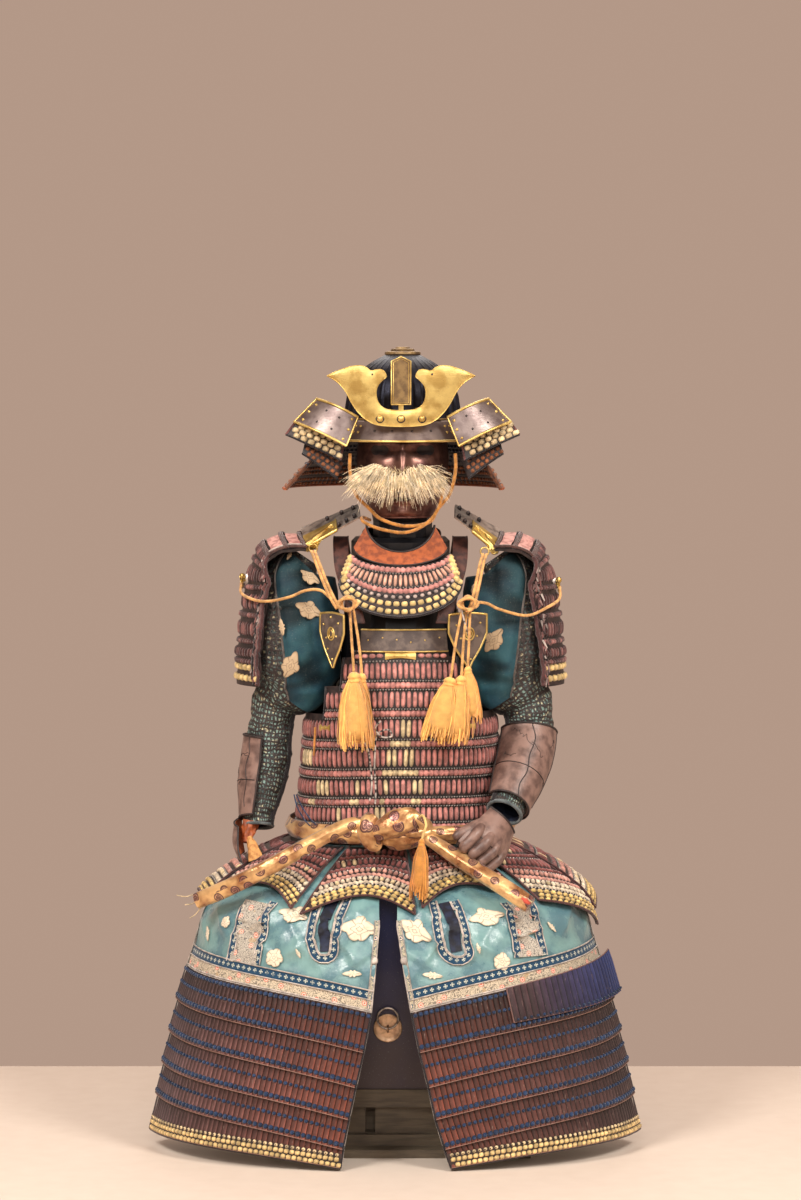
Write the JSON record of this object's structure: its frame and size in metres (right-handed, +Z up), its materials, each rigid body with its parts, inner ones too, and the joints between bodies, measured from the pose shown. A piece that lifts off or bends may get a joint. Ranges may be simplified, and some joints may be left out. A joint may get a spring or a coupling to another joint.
{
  "type": "samurai armour on its armour chest and display form",
  "caption": "Full samurai armour with horned crest, laced cuirass, brocade thigh guards and sash, standing on a lacquered armour chest.",
  "frame": {"origin": "on the floor, under the plinth, on the display form's upright axis", "axes": "+Z up, the armour faces -Y, +X towards the wearer's left hand"},
  "size_m": [0.8998, 0.6709, 1.463],
  "materials": {
    "lacquer": "black lacquer, glossy",
    "plinth": "dark dusty wood",
    "form": "smooth black",
    "bronze": "dark patinated bronze",
    "brass": "gilt brass with worn patina",
    "bowl_iron": "blue-black lacquered iron with fine ridges",
    "iron": "worn grey-purple lacquered iron",
    "mask_iron": "russet lacquered iron",
    "hair": "pale animal hair",
    "lames": "dark lacquered lames with laces",
    "scales": "rust-brown lacquered scales with blue laces",
    "lace": "faded pink silk laces",
    "cream_lace": "pink and cream silk laces",
    "leather": "russet leather",
    "dark_leather": "dark stencilled leather with gilt edges",
    "plate": "mauve-brown lacquered plate",
    "brocade": "teal satin brocade",
    "mail": "iron mail on teal brocade",
    "sash": "gold silk brocade",
    "cord": "orange silk cord"
  },
  "bodies": {
    "suit": {"stand_chest": "lacquer", "stand_plinth": "plinth", "form_body": "form", "form_head": "form", "chest_plate": "bronze", "helmet_crest": "brass", "helmet_bowl": "bowl_iron", "helmet_visor": "iron", "turnback_left": "iron", "turnback_right": "iron", "shoulder_plate_left": "iron", "shoulder_plate_right": "iron", "mask": "mask_iron", "moustache": "hair", "helmet_neck_guard": "lames", "shoulder_guard_left": "lames", "shoulder_guard_right": "lames", "thigh_lames_left": "scales", "thigh_lames_right": "scales", "waist_lame_1": "lace", "waist_lame_2": "lace", "waist_lame_3": "lace", "waist_lame_4": "lace", "chest_lames": "lace", "back_lames": "lace", "tasset_1": "lace", "tasset_2": "lace", "tasset_3": "lace", "tasset_4": "lace", "tasset_5": "lace", "tasset_6": "lace", "tasset_7": "lace", "tasset_8": "lace", "tasset_9": "lace", "throat_lames": "cream_lace", "throat_collar": "leather", "breast_board": "dark_leather", "strap_left": "dark_leather", "strap_right": "dark_leather", "leaf_plate_left": "dark_leather", "leaf_plate_right": "dark_leather", "forearm_left": "plate", "forearm_right": "plate", "hand_guard_left": "plate", "hand_guard_right": "plate", "thigh_cloth_left": "brocade", "thigh_cloth_right": "brocade", "sleeve_left": "mail", "sleeve_right": "mail", "sash_belt": "sash", "sash_knot": "sash", "sash_tail_left": "sash", "sash_tail_right": "sash", "helmet_cord": "cord", "shoulder_cord_left": "cord", "shoulder_cord_right": "cord", "tassels_left": "cord", "tassels_right": "cord", "belt_tassel": "cord"},
    "ring": {"chest_ring": "bronze"}
  },
  "joints": [
    {"name": "ring_swing", "type": "hinge", "parent": "suit", "child": "ring", "pos_m": [-0.023, -0.2141, 0.23], "axis": [1, 0, 0], "range_deg": [0, 180]}
  ]
}
